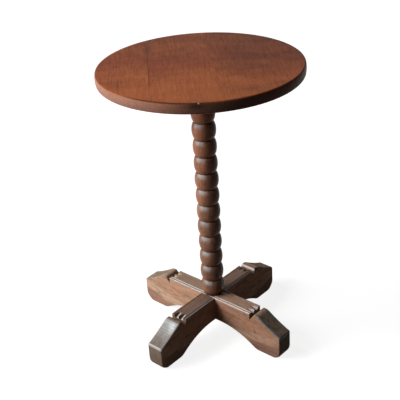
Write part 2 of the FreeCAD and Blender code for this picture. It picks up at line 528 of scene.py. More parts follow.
class Finish(Nodes):
    """A material that starts from a ground colour and gets its coats one by one."""

    def __init__(self, name, ground=None, turn=0.0):
        self.material = bpy.data.materials.new(name)
        self.material.use_nodes = True
        super().__init__(self.material.node_tree)
        place = self.add("TexCoord").outputs["Object"]
        self.place = self.add("Mapping", Vector=place, Rotation=(0, 0, turn)).outputs[0]
        self.x, self.y, self.z = self.add("SeparateXYZ", self.place).outputs
        self.colour = ground

    def coat(self, share, colour):
        """Lay a colour over the present one, by a share."""
        self.colour = self.mix(share, self.colour, colour)

    def tint(self, factor):
        """Multiply the colour by a number."""
        settings = {"operation": "SCALE"}
        self.colour = self.add("VectorMath", self.colour, settings=settings, Scale=factor).outputs[0]

    def darken(self, share, amount):
        """Multiply the colour by 1 - amount where share is 1."""
        self.tint(self.rest(self.times(share, amount)))

    def speckle(self, noise, low, high, amount):
        """Darken the colour where a noise rises from low to high."""
        self.darken(self.spread(noise, low, high), amount)

    def patch(self, centre, reach, soft=1.0):
        """1 in a soft ellipse around a place: centre and reach along the mapped X, Y and Z."""
        away = [
            self.times(self.less(axis, middle), 1 / far)
            for axis, middle, far in zip((self.x, self.y, self.z), centre, reach)]
        return self.fade(self.length(*away), 1.0, 1.0 - soft)

    def scratch(self, start, end, half):
        """1 on a thin line between two places, given along the mapped X and Z."""
        tilt = (end[1] - start[1]) / (end[0] - start[0])
        level = self.math("MULTIPLY_ADD", self.x, -tilt, self.z)
        on_line = self.band(level, start[1] - tilt * start[0], half, half)
        reach = abs(end[0] - start[0]) / 2
        return self.times(
            on_line, self.band(self.x, (start[0] + end[0]) / 2, reach * 0.6, reach * 0.4))

    def noise(self, stretch, scale, detail=3.0, roughness=0.55, distortion=0.0, seed=0.0):
        """Noise from 0 to 1, with the place stretched first along the grain."""
        shift = (seed, seed * 0.7, seed * 1.3)
        grain = self.add(
            "VectorMath", self.place, stretch, shift, settings={"operation": "MULTIPLY_ADD"})
        return self.add(
            "TexNoise", Vector=grain.outputs[0], Scale=scale, Detail=detail,
            Roughness=roughness, Distortion=distortion).outputs["Fac"]

    def bump(self, height, distance):
        return self.add("Bump", Height=height, Distance=distance).outputs[0]

    def surface(self, shader):
        """Close the material with a shader."""
        self.add("OutputMaterial", Surface=shader.outputs[0])
        return self.material

    def shade(self, rough, **settings):
        """Close the material with a glossy or matt surface in its present colour."""
        return self.surface(
            self.add("BsdfPrincipled", Base_Color=self.colour, Roughness=rough, **settings))


def top_polish(colours, sizes, name, seed, tone):
    """Old red-brown polish; X is mapped aside and Y away, along the grain."""
    # The ground colour is the rim's painted highlight, used below for the rim only.
    wood = Finish(name, colours.rim_lit_pink, turn=-BOARD_TURN)
    step, spread, times = wood.step, wood.spread, wood.times
    aside, away, up = wood.x, wood.y, wood.z
    bottom, level, radius = top_low.z, top_high.z, sizes.radius
    figure = wood.noise((0.6, 1, 1), 13, detail=4, seed=seed)
    streaks = wood.noise((1, 0.07, 1), 330, detail=4, roughness=0.6, seed=seed + 3)
    pores = wood.noise((1, 0.16, 1), 1100, detail=2, seed=seed + 5)
    smudges = wood.noise((0.45, 1, 1), 24, detail=4, seed=seed + 9)

    # The rim's colour, which is laid on below: the ground is a painted highlight on the rim's upper part,
    # with painted shade on its lower part
    wood.coat(step(up, bottom, 12, 8), colours.rim_shaded_mauve)
    # Painted light bounced from the floor, on the rim's lowest edge.
    wood.coat(times(step(up, bottom, 4, 1.5), 0.8), colours.top_orange)
    wood.speckle(streaks, 0.4, 0.75, 0.25)
    rim_colour = wood.colour

    # The face, redder in front and darker behind and to the right, partly its polish's own colour and partly
    # painted light and shade, with its left joint and smudges
    wood.colour = colours.top_brown
    orange = wood.plus(spread(figure, 0.36, 0.68, 0, 0.9), times(step(away, 0, -20, -150), 0.7))
    wood.coat(orange, colours.top_orange)
    # Partly painted shade: darker behind and towards the right.
    wood.darken(step(away, 0, -20, 150), 0.22)
    wood.darken(times(step(aside, 0, 0, 90), step(away, 0, -110, 20)), 0.22)
    wood.speckle(streaks, 0.42, 0.74, 0.26)
    wood.speckle(pores, 0.46, 0.7, 0.36)
    wood.speckle(smudges, 0.46, 0.72, 0.24)
    waver = spread(wood.noise((0, 1, 0), 28, detail=2, seed=2), 0, 1, -2 * MM, 2 * MM)
    joint = wood.stripe(wood.plus(aside, waver), sizes.left_joint, 0, 0.4, 1.1)
    wood.coat(times(joint, step(away, 0, -150, -90), 0.45), colours.top_dark)
    for centre, reach, amount in (
            ((sizes.left_joint, 112 * MM), mm(12, 45), 0.4),
            (mm(-160, 20), mm(14, 9), 0.35),
            (mm(-155, -85), mm(2.5, 40), 0.3),
            (mm(128, 14), mm(2.2, 18), 0.5)):
        wood.darken(wood.patch((*centre, level), (*reach, 1)), amount)

    # The rim, with painted shade on its right part, its dark arris, and a stain and a nick in front
    out = wood.length(aside, away)
    rim = step(out, radius, -1.6, -0.9)
    wood.coat(times(rim, spread(figure, 0.3, 0.6, 0.7, 0.95)), rim_colour)
    # Painted shade: the rim darkens towards its right, turned from the light.
    wood.darken(times(rim, step(aside, 0, -95, -10)), 0.48)
    arris = times(wood.stripe(out, radius, -1.9, 1, 0.9), step(up, level, -3, -1))
    front_left = times(wood.stripe(aside, 0, -70, 45, 40), step(away, 0, 0, -60))
    wood.coat(times(arris, spread(front_left, 0, 1, 0.3, 0.75)), colours.top_dark)
    wood.darken(wood.patch((*mm(-22, -198), level - 6 * MM), mm(26, 10, 9)), 0.6)
    nick = wood.patch((*mm(-17, -197.5), level - 1 * MM), mm(1.6, 3, 2.4), 0.5)
    wood.coat(times(nick, 0.6), colours.worn_edge_and_highlight)
    wood.tint(tone)
    rough = spread(streaks, 0.3, 0.8, 0.38, 0.54)
    return wood.shade(rough, Normal=wood.bump(streaks, 0.1 * MM), Specular_IOR_Level=0.03)


def column_polish(colours, sizes):
    """Polished turning with upright grain; its grooves darker from old polish and painted shade, its beads
    with painted light, shade and highlights.
    """
    wood = Finish("column_polish", colours.column_brown)
    fade, step, spread, times = wood.fade, wood.step, wood.spread, wood.times
    x, y, up = wood.x, wood.y, wood.z
    streaks = wood.noise((1, 1, 0.12), 260, detail=4, roughness=0.65)
    figure = wood.noise((1, 1, 0.5), 46, detail=4, seed=4)
    spots = wood.noise((1, 1, 0.7), 170, detail=3, seed=9)
    wood.coat(spread(figure, 0.36, 0.68), colours.column_orange)
    lower = fade(up, cleat_low.z, beam_high.z + 60 * MM)
    wood.coat(times(lower, 0.36), colours.foot_grey)
    wood.darken(lower, 0.22)
    wood.speckle(spots, 0.5, 0.72, 0.3)
    wood.speckle(streaks, 0.44, 0.75, 0.36)

    # Up a bead from 0 to 1, out from the axis, and 1 where the window faces the bead
    up_bead = wood.math("FRACT", times(wood.less(up, sizes.start), 1 / sizes.pitch))
    out = wood.length(x, y)
    facing = wood.plus(times(x, math.cos(WINDOW_SIDE)), times(y, math.sin(WINDOW_SIDE)))
    facing = wood.math("DIVIDE", facing, out)
    lit = fade(facing, 0.8, 1.0)
    unlit = wood.largest(wood.rest(lit), fade(up_bead, 0.6, 0.35))
    # Painted light: the side of the column turned to the window is made a tenth paler.
    wood.darken(fade(facing, 0.72, 0.98), -0.1)
    # Painted shadow of the top: the upper beads darken away from the window and on their lower parts.
    wood.darken(times(step(up, cleat_low.z, -230, -60), unlit), 0.22)
    # Painted light bounced from the floor: the lower part of each bead is warmer and paler.
    wood.coat(times(wood.band(up_bead, 0.25, 0.08, 0.2), 0.2), colours.top_orange)
    # Painted highlight: a cool sheen on each bead's upper shoulder, on the side turned to the window.
    sheen = times(lit, wood.band(up_bead, 0.95, 0.04, 0.27), spread(spots, 0.3, 0.7, 0.68, 0.42))
    wood.coat(sheen, colours.painted_sheen)
    # Darker grooves: partly old polish, partly painted shade.
    wood.coat(times(step(out, sizes.groove_radius, 1.7, 0.3), 0.72), colours.groove_polish_and_shade)
    # Painted shadow where the column stands on the feet: its lowest bead and neck are darker.
    wood.darken(step(up, sizes.start, 12, 0), 0.6)
    rough = spread(figure, 0.3, 0.7, 0.2, 0.3)
    return wood.shade(rough, Normal=wood.bump(streaks, 0.08 * MM), Specular_IOR_Level=0.06)


# How each arm of the feet has worn, and how light and shade are painted on it: the upper foot's back left
# and front right arm, then the lower foot's front left and back right arm. A foot's first arm lies on the
# mapped -X.
# Tones multiply the colour; the side, slope and end tones are painted light and shade. Beads and quirks are
# darkened by their numbers, or made paler by
# those below zero: painted shade on the far beads, painted light in the lower foot's far quirks. The others
# are shares of a coat or of a shine; the slope's sheen and the pale lines, flutes, rolls, ends and noses are
# painted highlights, the lines partly also worn paler wood.

ARM_WEAR_AND_LIGHT = {
    "redness": (0.0, 0.3, 0.2, 0.25),
    "side_tones": (1.36, 1.05, 0.92, 2.15),
    "strip_tones": (0.92, 1.05, 0.52, 0.49),
    "crest_tones": (1.3, 0.95, 0.72, 0.78),
    "slope_tones": (1.6, 0.8, 0.68, 2.0),
    "end_tones": (0.8, 0.48, 0.82, 0.8),
    "far_bead": (0.35, 0.35, 0.0, 0.0),
    "near_bead": (0.0, 0.0, 0.0, 0.5),
    "far_quirk": (0.0, 0.0, -1.6, -1.6),
    "slope_sheen": (0.0, 0.0, 0.9, 0.0),
    "lines": (0.8, 0.8, 0.45, 0.1),
    "flute_shine": (0.12, 0.65, 0.8, 0.2),
    "roll_shine": (0.08, 0.22, 0.35, 0.25),
    "end_shine": (0.05, 0.05, 0.6, 0.6),
    "nose_shine": (0.2, 0.15, 0.1, 0.6),
    "slope_shine": (0.0, 0.08, 0.2, 0.0),
}

# What each foot has for itself. The lit wall is the side of a flute, on the mapped Y, that
# faces the window. Buffed places are in millimetres along, aside and up. Marks and cracks lie on
# the foot's sides, in millimetres along and up: a mark has its place, its reach and its
# strength, and a crack its start, its end and its strength.

UPPER_FOOT = {
    "node": "foot_beam_upper", "arms": slice(0, 2), "turn": 0.0, "seed": 3.0, "lit_wall": 1.0,
    "buffed": (),
    "marks": (
        (-150, 32, 8, 6, 0.35), (-96, 46, 16, 5, 0.25), (127, 46, 4, 8, 0.4), (70, 60, 24, 7, 0.22)),
    "cracks": (
        (-112, 62, -48, 57, 0.2), (-185, 44, -120, 33, 0.3), (122, 54, 132, 38, 0.5),
        (40, 66, 100, 60, 0.25)),
}
LOWER_FOOT = {
    "node": "foot_beam_lower", "arms": slice(2, 4), "turn": LOWER_FOOT_TURN, "seed": 21.0,
    "lit_wall": -1.0,
    "buffed": ((-141, -5, 84), (-149, -11, 79)),
    "marks": ((-112, 42, 9, 8, 0.5), (-163, 50, 3, 8, 0.5), (112, 44, 16, 8, 0.3)),
    "cracks": ((-185, 51, -160, 58, 0.5), (60, 62, 150, 55, 0.25)),
}


def foot_wax(colours, sizes, name, foot):
    """Worn waxed wood; X is mapped along the foot, with its grain."""
    wood = Finish(name, colours.foot_brown, turn=foot["turn"])
    fade, step, stripe, spread, times = wood.fade, wood.step, wood.stripe, wood.spread, wood.times
    y, up, seed = wood.y, wood.z, foot["seed"]
    length, half, high = beam_high
    wall, crest, toe, quirk = sizes.notch_wall, sizes.crest, sizes.toe_height, sizes.quirk
    out = wood.distance(wood.x, 0.0)
    aside = wood.distance(y, 0.0)
    right = step(wood.x, 0, -25, 25)
    grain = wood.noise((0.07, 1, 1), 300, detail=4, roughness=0.6, distortion=0.3, seed=seed)
    figure = wood.noise((0.35, 1, 1), 46, detail=4, seed=seed + 2)
    mottle = wood.noise((0.7, 1, 1), 130, seed=seed + 6)
    across = wood.noise((1, 0.04, 1), 420, detail=2, seed=seed + 8)

    def wear_and_light(key):
        """Wear and painted light and shade that pass over from the foot's first arm to its second."""
        return spread(right, 0, 1, *ARM_WEAR_AND_LIGHT[key][foot["arms"]])

    # Where things are: the toe's slope and end, its crown, the notch's wall and the strip
    fall = (high - toe) / (length - crest)
    over_slope = wood.math("MULTIPLY_ADD", wood.less(out, crest), fall, up)
    slope = times(step(over_slope, high, -5, -3.2), step(out, crest, -6, 3))
    inward = step(aside, half, -0.4, -1.2)
    crown = times(
        wood.largest(step(up, high, -8, -4), inward), step(up, toe, -8, -4), step(out, wall, 0.2, 0.8))
    notch_wall = times(inward, stripe(out, wall, 0.15, 0.3, 0.3))
    end = step(out, length, -1.3, -0.5)
    on_strip = step(out, wall, 1, 0)
    strip = times(step(up, high, -3.6, -2.2), on_strip)
    level = wood.math("MULTIPLY_ADD", wood.less(length, out), 0.2, up)
    level = wood.plus(level, spread(figure, 0.2, 0.8, -3 * MM, 3 * MM))

    # The wood's colour, with its pale, red and mauve parts, grey where it is rubbed, and each arm's tones,
    # of which the side, slope and end tones are painted light and shade
    wood.coat(spread(figure, 0.38, 0.64), colours.foot_orange)
    wood.coat(times(stripe(level, 0, 44, 5, 10), 0.6), colours.foot_pale)
    wood.coat(times(wear_and_light("redness"), spread(mottle, 0.35, 0.6, 0.6, 1.0)), colours.foot_red)
    low_band = times(step(level, 0, 35, 26), spread(mottle, 0.3, 0.65, 0.8, 0.5))
    wood.coat(low_band, colours.foot_mauve)
    wood.darken(times(low_band, right), 0.18)
    # Painted light and shade: the side, slope and end tones make each arm's faces lighter or darker to stand
    # for how the window light falls on them.
    tone = wear_and_light("side_tones")
    for share, grey, key in (
            (strip, times(strip, 0.3), "strip_tones"),
            (crown, wood.largest(times(crown, 0.4), times(notch_wall, 0.75)), "crest_tones"),
            (slope, times(slope, 0.75), "slope_tones"),
            (end, times(end, 0.8), "end_tones")):
        wood.coat(grey, colours.foot_grey)
        tone = wood.blend(share, tone, wear_and_light(key))
    wood.tint(tone)

    # Grain, the strip's two beads and far quirk with painted shade and painted light, the painted sheen on a
    # slope, marks and cracks
    wood.speckle(grain, 0.45, 0.75, 0.34)
    wood.speckle(mottle, 0.5, 0.75, 0.26)
    wood.darken(times(slope, spread(mottle, 0.38, 0.62)), 0.3)
    # Painted shade: the far beads darkened like the shade beside their quirks.
    wood.darken(times(strip, fade(y, quirk, half - 3 * MM)), wear_and_light("far_bead"))
    wood.darken(times(strip, fade(y, -quirk, 3 * MM - half)), wear_and_light("near_bead"))
    # Painted light: the far quirks made paler where they lie in shade.
    wood.darken(times(strip, stripe(y, quirk, 0.6, 1.6, 0.8)), wear_and_light("far_quirk"))
    # Painted highlight: a pale cool sheen on the upper part of a toe's slope.
    sheen = times(slope, step(up, 0, 58, 84), spread(across, 0.35, 0.6, 1.0, 0.45))
    wood.coat(times(sheen, wear_and_light("slope_sheen")), colours.painted_sheen)
    for along, height, long, tall, amount in foot["marks"]:
        wood.darken(wood.patch(mm(along, 0, height), mm(long, 200, tall)), amount)
    for *line, amount in foot["cracks"]:
        wood.darken(wood.scratch(mm(*line[:2]), mm(*line[2:]), 0.7 * MM), amount)

    # Dark quirks, partly dirt and partly painted shade, and the flutes with painted shade on one wall and a
    # painted highlight on the other
    # Quirks darker on the near side: partly dirt, partly painted shade.
    dark = times(strip, stripe(aside, quirk, 0, 0.6, 0.6), spread(y, -5 * MM, 5 * MM, 0.85, 0.1))
    wood.coat(dark, colours.foot_dark_and_shade)
    hollow = times(
        step(up, high, -0.4, -1.6), step(up, high, -7.5, -6), on_strip, step(aside, 0, 12.4, 11.8))
    middle = times(wood.math("SIGN", y), sizes.flute_spacing / 2)
    lit = step(times(wood.less(y, middle), foot["lit_wall"]), 0, -1, 1.2)
    # Painted shade: the flute's wall turned from the window is darkened.
    wood.coat(times(hollow, wood.rest(lit), 0.85), colours.foot_dark_and_shade)

    # Pale edges, partly worn paler wood and partly painted highlights where they catch the light: lines
    # along the strip, flutes, the slope's rolls, toe and nose
    bead = stripe(aside, half, -1.2, 0.7, 0.8)
    lip = times(stripe(aside, quirk, -2.2, 0.5, 0.7), 0.8)
    pale = wood.largest(
        times(wood.largest(bead, lip), strip, step(y, 0, 5, -5), wear_and_light("lines"),
              spread(mottle, 0.35, 0.55, 0.55, 1.0)),
        times(hollow, lit, wear_and_light("flute_shine")),
        times(slope, step(aside, 0, 14.5, 17), wear_and_light("roll_shine")),
        times(stripe(out, length, -0.8, 0.9, 0.9), step(up, toe, -6, -3.5), wear_and_light("end_shine")),
        times(stripe(out, sizes.nose, -1.6, 1, 1.1), step(up, high, -7, -3), wear_and_light("nose_shine")))
    wood.coat(pale, colours.worn_edge_and_highlight)

    polished = wood.largest(times(strip, 0.6), slope, pale)
    rough = wood.plus(spread(polished, 0, 1, 0.58, 0.26), spread(grain, 0.3, 0.8, 0, 0.14))
    shine = wood.blend(slope, spread(polished, 0, 1, 0.03, 0.3), wear_and_light("slope_shine"))
    for place in foot["buffed"]:
        buffed = wood.patch(mm(*place), mm(18, 11, 18))
        shine = wood.plus(shine, times(buffed, slope, spread(grain, 0.3, 0.7, 0.6, 0.25)))
    return wood.shade(rough, Normal=wood.bump(grain, 0.15 * MM), Specular_IOR_Level=shine)


def planed_wood(name, brown, dark, turn=0.0, stretch=(0.05, 1, 1)):
    """Wood left from the plane, without polish."""
    wood = Finish(name, brown, turn)
    grain = wood.noise(stretch, 180, detail=4, roughness=0.6, distortion=0.3)
    wood.coat(wood.spread(grain, 0.45, 0.75), dark)
    wood.speckle(wood.noise(stretch, 40, seed=7), 0.4, 0.7, 0.25)
    rough = wood.spread(grain, 0.3, 0.8, 0.55, 0.75)
    return wood.shade(rough, Normal=wood.bump(grain, 0.2 * MM), Specular_IOR_Level=0.3)


def screw_steel(colours):
    """Dull steel with darker spots."""
    steel = Finish("screw_steel", colours.steel_grey)
    spots = steel.noise((1, 1, 1), 900)
    steel.coat(steel.spread(spots, 0.35, 0.7), colours.foot_dark_and_shade)
    return steel.shade(steel.spread(spots, 0.3, 0.7, 0.35, 0.6), Metallic=1.0)


# The round top

class SIDE_TABLE_OT_add_top(bpy.types.Operator):
    """Add the three glued boards of the round top"""
    bl_idname = "side_table.add_top"
    bl_label = "Round Top"

    def execute(self, context):
        sizes = context.scene.table_top_sizes
        disc = self.disc(sizes)
        ends = (None, sizes.left_joint, sizes.right_joint, None)
        tones = (0.97, 0.98, 0.92)
        for index, node in enumerate(BOARD_NODES):
            board = copy_of(disc, node.replace("top_board", "board"))
            self.saw(board, ends[index], ends[index + 1], sizes)
            polish = top_polish(
                context.scene.table_colours, sizes, node + "_polish", 11.0 * index, tones[index])
            finish_piece(board, polish, [node])
        bpy.data.objects.remove(disc, do_unlink=True)
        return {"FINISHED"}

    def disc(self, sizes):
        """Disc with a swelling rim and rounded arrises."""
        leave_edit()
        bpy.ops.mesh.primitive_cylinder_add(
            vertices=RIM_SIDES, radius=sizes.radius, depth=top_high.z - top_low.z,
            location=(0, 0, (top_low.z + top_high.z) / 2))
        disc = settle(bpy.context.object, "disc")
        edit(disc)
        steps, inset = 6, 1.5 * MM
        levels = even_steps(top_low.z, top_high.z, steps)
        for level in levels[1:-1]:
            slice_at((0, 0, level), (0, 0, 1))
        for index, level in enumerate(levels):
            fall = (2 * index / steps - 1) ** 2
            ratio = 1 - sizes.belly * fall / sizes.radius
            pick(lambda co: near(co.z, level))
            widen(ratio, level)
        for level in (levels[0], levels[-1]):
            pick_edges(lambda one, two: near(one.z, level) and near(two.z, level))
            bpy.ops.mesh.bevel(offset=sizes.arris, segments=5, affect="EDGES")
        for level in (levels[0], levels[-1]):
            pick(lambda co: near(co.z, level))
            bpy.ops.mesh.inset(thickness=inset)
        return disc

    def saw(self, board, left, right, sizes):
        """Keep one board of the disc between its joints, and ease its long upper edges."""
        edit(board)
        across = Vector((math.cos(BOARD_TURN), math.sin(BOARD_TURN), 0))
        if left is not None:
            slice_at(across * left, across, use_fill=True, clear_inner=True)
        if right is not None:
            slice_at(across * right, across, use_fill=True, clear_outer=True)
        for joint in (left, right):
            if joint is None:
                continue
            pick_edges(lambda one, two: (
                near(one.dot(across), joint) and near(two.dot(across), joint)
                and near(one.z, top_high.z) and near(two.z, top_high.z)))
            bpy.ops.mesh.bevel(offset=sizes.joint_edge, segments=1, affect="EDGES")
        clean(board)
        smooth(board)


# The column

class SIDE_TABLE_OT_add_column(bpy.types.Operator):
    """Add the bobbin-turned column with its two round tenons"""
    bl_idname = "side_table.add_column"
    bl_label = "Bobbin Column"

    def execute(self, context):
        sizes = context.scene.table_column_sizes
        column = self.bead(sizes)
        modify(
            column, "ARRAY", count=sizes.bead_count, use_relative_offset=False,
            use_constant_offset=True, constant_offset_displace=(0, 0, sizes.pitch),
            use_merge_vertices=True, merge_threshold=TOUCH)
        self.vary(column, sizes)
        self.tenons(column, sizes)
        clean(column)
        smooth(column, 50)
        polish = column_polish(context.scene.table_colours, sizes)
        finish_piece(column, polish, ["column"])
        return {"FINISHED"}

    def bead(self, sizes):
        """One bead, along a half ellipse."""
        rings, middle = 16, sizes.start + sizes.pitch / 2
        turn = math.asin(1 / sizes.stretch)
        depth = (sizes.bead_radius - sizes.groove_radius) / (1 - math.cos(turn))
        return drawn_up("bobbin_column", BEAD_SIDES, [
            (sizes.bead_radius - depth * (1 - math.cos(angle)),
             middle + sizes.stretch * math.sin(angle) * sizes.pitch / 2)
            for angle in even_steps(-turn, turn, rings)])

    def vary(self, column, sizes):
        """Hand turning: no two beads are quite alike."""
        chance = random.Random(13)
        edit(column)
        for index in range(sizes.bead_count):
            low = sizes.start + sizes.pitch * index + TOUCH
            high = low + sizes.pitch - 2 * TOUCH
            middle = (low + high) / 2
            ratio = 1 + chance.uniform(-1, 0.4) * sizes.unevenness / sizes.bead_radius
            drift = chance.uniform(-1, 1) * sizes.unevenness
            pick(lambda co: low < co.z < high)
            widen(ratio, middle)
            lift(drift, lambda co: abs(co.z - middle) < sizes.pitch * 0.3)

    def tenons(self, column, sizes):
        """Neck and tenons, drawn out of the two open ends and closed."""
        thin = sizes.tenon_radius / sizes.groove_radius
        foot = column_low.z + sizes.tenon_drop
        ends = (
            (sizes.start, ((beam_high.z, 1), (beam_high.z, thin), (foot, 1))),
            (cleat_low.z, ((cleat_low.z, thin), (column_high.z, 1))))
        edit(column)
        for level, steps in ends:
            pick(lambda co: near(co.z, level))
            for next_level, ratio in steps:
                draw_ring(next_level - level, ratio, next_level)
                level = next_level
            bpy.ops.mesh.edge_face_add()


# The feet

def eased(run, before, after, reach):
    """Height over a corner at zero between two slopes, joined by a parabola."""
    if run <= -reach:
        return before * run
    if run >= reach:
        return after * run
    return before * run + (after - before) * (run + reach) ** 2 / (4 * reach)


def round_drop(run, radius):
    """Fall of a quarter round at a distance into it."""
    if run <= 0:
        return 0.0
    return radius - math.sqrt(max(radius ** 2 - min(run, radius) ** 2, 0))


def round_steps(end, radius, count):
    """Places along a quarter round that ends there, closer together where it turns down."""
    return [end - radius + radius * math.sin(math.pi / 2 * index / count) for index in range(count + 1)]


class SIDE_TABLE_OT_add_feet(bpy.types.Operator):
    """Add the two crossed sledge feet with beaded strips, notches and flutes"""
    bl_idname = "side_table.add_feet"
    bl_label = "Sledge Feet"

    def execute(self, context):
        sizes = context.scene.table_foot_sizes
        colours = context.scene.table_colours
        upper = self.blank(sizes)
        self.shape_outline(upper, sizes)
        self.shape_edges(upper, sizes)
        self.round_toes(upper, sizes)
        clean(upper)
        tenon = context.scene.table_column_sizes.tenon_radius
        bore = rod("bore", tenon + FIT_GAP, (0, 0, -OVERRUN), (0, 0, beam_high.z + OVERRUN), BORE_SIDES)
        cut_away(upper, self.gouges(sizes) + [bore])
        lower = copy_of(upper, "foot_lower")
        upper.name = "foot_upper"
        wide = beam_high.y + FIT_GAP
        lap = (column_low.z + beam_high.z) / 2
        cut_away(upper, [block("slot", (-wide, -2 * wide, -lap), (wide, 2 * wide, lap))])
        cut_away(lower, [block("slot", (-wide, -2 * wide, lap), (wide, 2 * wide, 3 * lap))])
        turned(lower, LOWER_FOOT_TURN)
        for beam, foot in ((upper, UPPER_FOOT), (lower, LOWER_FOOT)):
            clean(beam)
            smooth(beam)
            wax = foot_wax(colours, sizes, beam.name + "_wax", foot)
            finish_piece(beam, wax, [foot["node"]])
        return {"FINISHED"}

    def stations(self, sizes):
        """Distances from the axis at which the outline needs a line of points."""
        length = beam_high.x
        wall, nose, crest = sizes.notch_wall, sizes.nose, sizes.crest
        places = even_steps(sizes.arch_flat / 2, sizes.sole_start, 16)
        places += [wall, wall + 0.3 * MM]
        places += even_steps(nose - sizes.nose_easing, nose + sizes.nose_easing, 6)
        places += even_steps(crest - sizes.crest_easing, crest + sizes.crest_easing, 8)
        places += even_steps(crest + sizes.crest_easing, length - sizes.under_radius, 8)
        places += round_steps(length, sizes.under_radius, 6)
        places += round_steps(length, sizes.front_under_radius, 6)
        places += round_steps(length, sizes.toe_end, 4)
        kept, closest = [], 0.15 * MM
        for place in sorted(places):
            if not kept or place - kept[-1] > closest:
                kept.append(place)
        kept[-1] = length
        return kept

    def strip_profile(self, sizes):
        """Distances from the foot's middle plane over the edge bead and the quirk, with their depths."""
        angles = even_steps(0, math.pi, 8)[:-1]
        middle, radius = beam_high.y - sizes.bead_radius, sizes.bead_radius
        bead = [(middle + radius * math.cos(angle), radius * (1 - math.sin(angle))) for angle in angles]
        quirk = [
            (sizes.quirk, sizes.quirk_depth),
            (sizes.quirk - sizes.quirk_width * 0.75, sizes.quirk_depth * 0.3),
            (sizes.quirk - sizes.quirk_width, 0)]
        return bead + quirk

    def upper_line(self, sizes, place):
        """Height of the upper outline."""
        nose, crest = sizes.nose, sizes.crest
        if place < sizes.notch_wall + 0.2 * MM:
            return beam_high.z
        if place < (nose + crest) / 2:
            return beam_high.z + eased(
                place - nose, sizes.notch_depth / sizes.notch_run, 0, sizes.nose_easing)
        span = beam_high.x - crest
        fall = beam_high.z - sizes.toe_height
        slope = -(fall + 4 * sizes.toe_hollow) / span
        height = beam_high.z + eased(place - crest, 0, slope, sizes.crest_easing)
        if place > crest:
            height += 4 * sizes.toe_hollow * ((place - crest) / span) ** 2
        return height - round_drop(place - beam_high.x + sizes.toe_end, sizes.toe_end)

    def lower_line(self, sizes, place, under_radius):
        """Height of the arch, the sole and the toe's lower corner."""
        inner = sizes.arch_flat / 2
        run = sizes.sole_start - inner
        rise = column_low.z
        turn = 2 * math.atan(rise / run)
        foot_run = run * sizes.arch_foot_share
        if place < sizes.sole_start - foot_run:
            return rise - round_drop(place - inner, (run - foot_run) / math.sin(turn))
        if place < sizes.sole_start:
            return round_drop(sizes.sole_start - place, foot_run / math.sin(turn))
        return round_drop(place - beam_high.x + under_radius, under_radius)

    def blank(self, sizes):
        """Squared beam, scored where its outline and its edges will be worked."""
        beam = block("foot", (beam_low.x, beam_low.y, 0), beam_high)
        edit(beam)
        for place in self.stations(sizes)[:-1]:
            for side in (-place, place):
                slice_at((side, 0, 0), (1, 0, 0))
        for place, _ in self.strip_profile(sizes)[1:]:
            for side in (-place, place):
                slice_at((0, side, 0), (0, 1, 0))
        return beam

    def shape_outline(self, beam, sizes):
        """Bring the scored lines to the outline's heights."""
        edit(beam)
        for place in self.stations(sizes):
            lift(
                self.upper_line(sizes, place) - beam_high.z,
                lambda co: near(abs(co.x), place) and near(co.z, beam_high.z))
            for end, radius in ((-place, sizes.under_radius), (place, sizes.front_under_radius)):
                lift(
                    self.lower_line(sizes, place, radius),
                    lambda co: near(co.x, end) and near(co.z, 0))

    def shape_edges(self, beam, sizes):
        """Scratch bead and quirk on the strip, roll the toes' edges, ease the arrises below."""
        half = beam_high.y
        wall = sizes.notch_wall + 0.1 * MM
        nose = sizes.nose - sizes.nose_easing
        edit(beam)
        for place, bead in self.strip_profile(sizes):
            roll = round_drop(place - half + sizes.toe_roll, sizes.toe_roll) * 0.85
            arris = round_drop(place - half + sizes.lower_arris, sizes.lower_arris)
            for start, end, low, high, height in (
                    (0, wall, FOOT_MIDDLE, beam_high.z, -bead),
                    (wall, nose, FOOT_MIDDLE, beam_high.z, -arris * 0.7),
                    (nose, beam_high.x, FOOT_MIDDLE, beam_high.z, -roll),
                    (0, beam_high.x, 0, FOOT_MIDDLE, arris)):
                lift(height, lambda co: (
                    near(abs(co.y), place) and start - TOUCH < abs(co.x) < end + TOUCH
                    and low - TOUCH < co.z < high + TOUCH))

    def round_toes(self, beam, sizes):
        """Round the toes' lower corners across their width, and the upright corners of their ends."""
        edit(beam)
        for place in self.stations(sizes):
            share = max(0, 1 - (beam_high.x - place) / sizes.front_under_radius)
            for side, _ in self.strip_profile(sizes):
                rise = round_drop(side - beam_high.y + sizes.toe_corner, sizes.toe_corner) * share
                lift(rise, lambda co: (
                    near(abs(co.x), place) and near(abs(co.y), side) and co.z < FOOT_MIDDLE))
            drop = round_drop(place - beam_high.x + sizes.toe_end, sizes.toe_end)
            if drop:
                pick(lambda co: near(abs(co.x), place))
                bpy.ops.transform.resize(value=(1, 1 - drop / beam_high.y, 1), center_override=(0, 0, 0))

    def gouges(self, sizes):
        """Round gouges for the two flutes at each end of the strip."""
        slope = sizes.flute_depth / sizes.flute_length
        wall_height = beam_high.z - sizes.flute_depth + sizes.flute_radius
        run, past = 1.6 * sizes.flute_length, 2.3 * MM
        inner, outer = sizes.notch_wall - run, sizes.notch_wall + past
        aside = sizes.flute_spacing / 2
        return [
            rod("gouge", sizes.flute_radius,
                (way * inner, side * aside, wall_height + run * slope),
                (way * outer, side * aside, wall_height - past * slope))
            for way in (-1, 1) for side in (-1, 1)]


# Cleat, screws and wedges

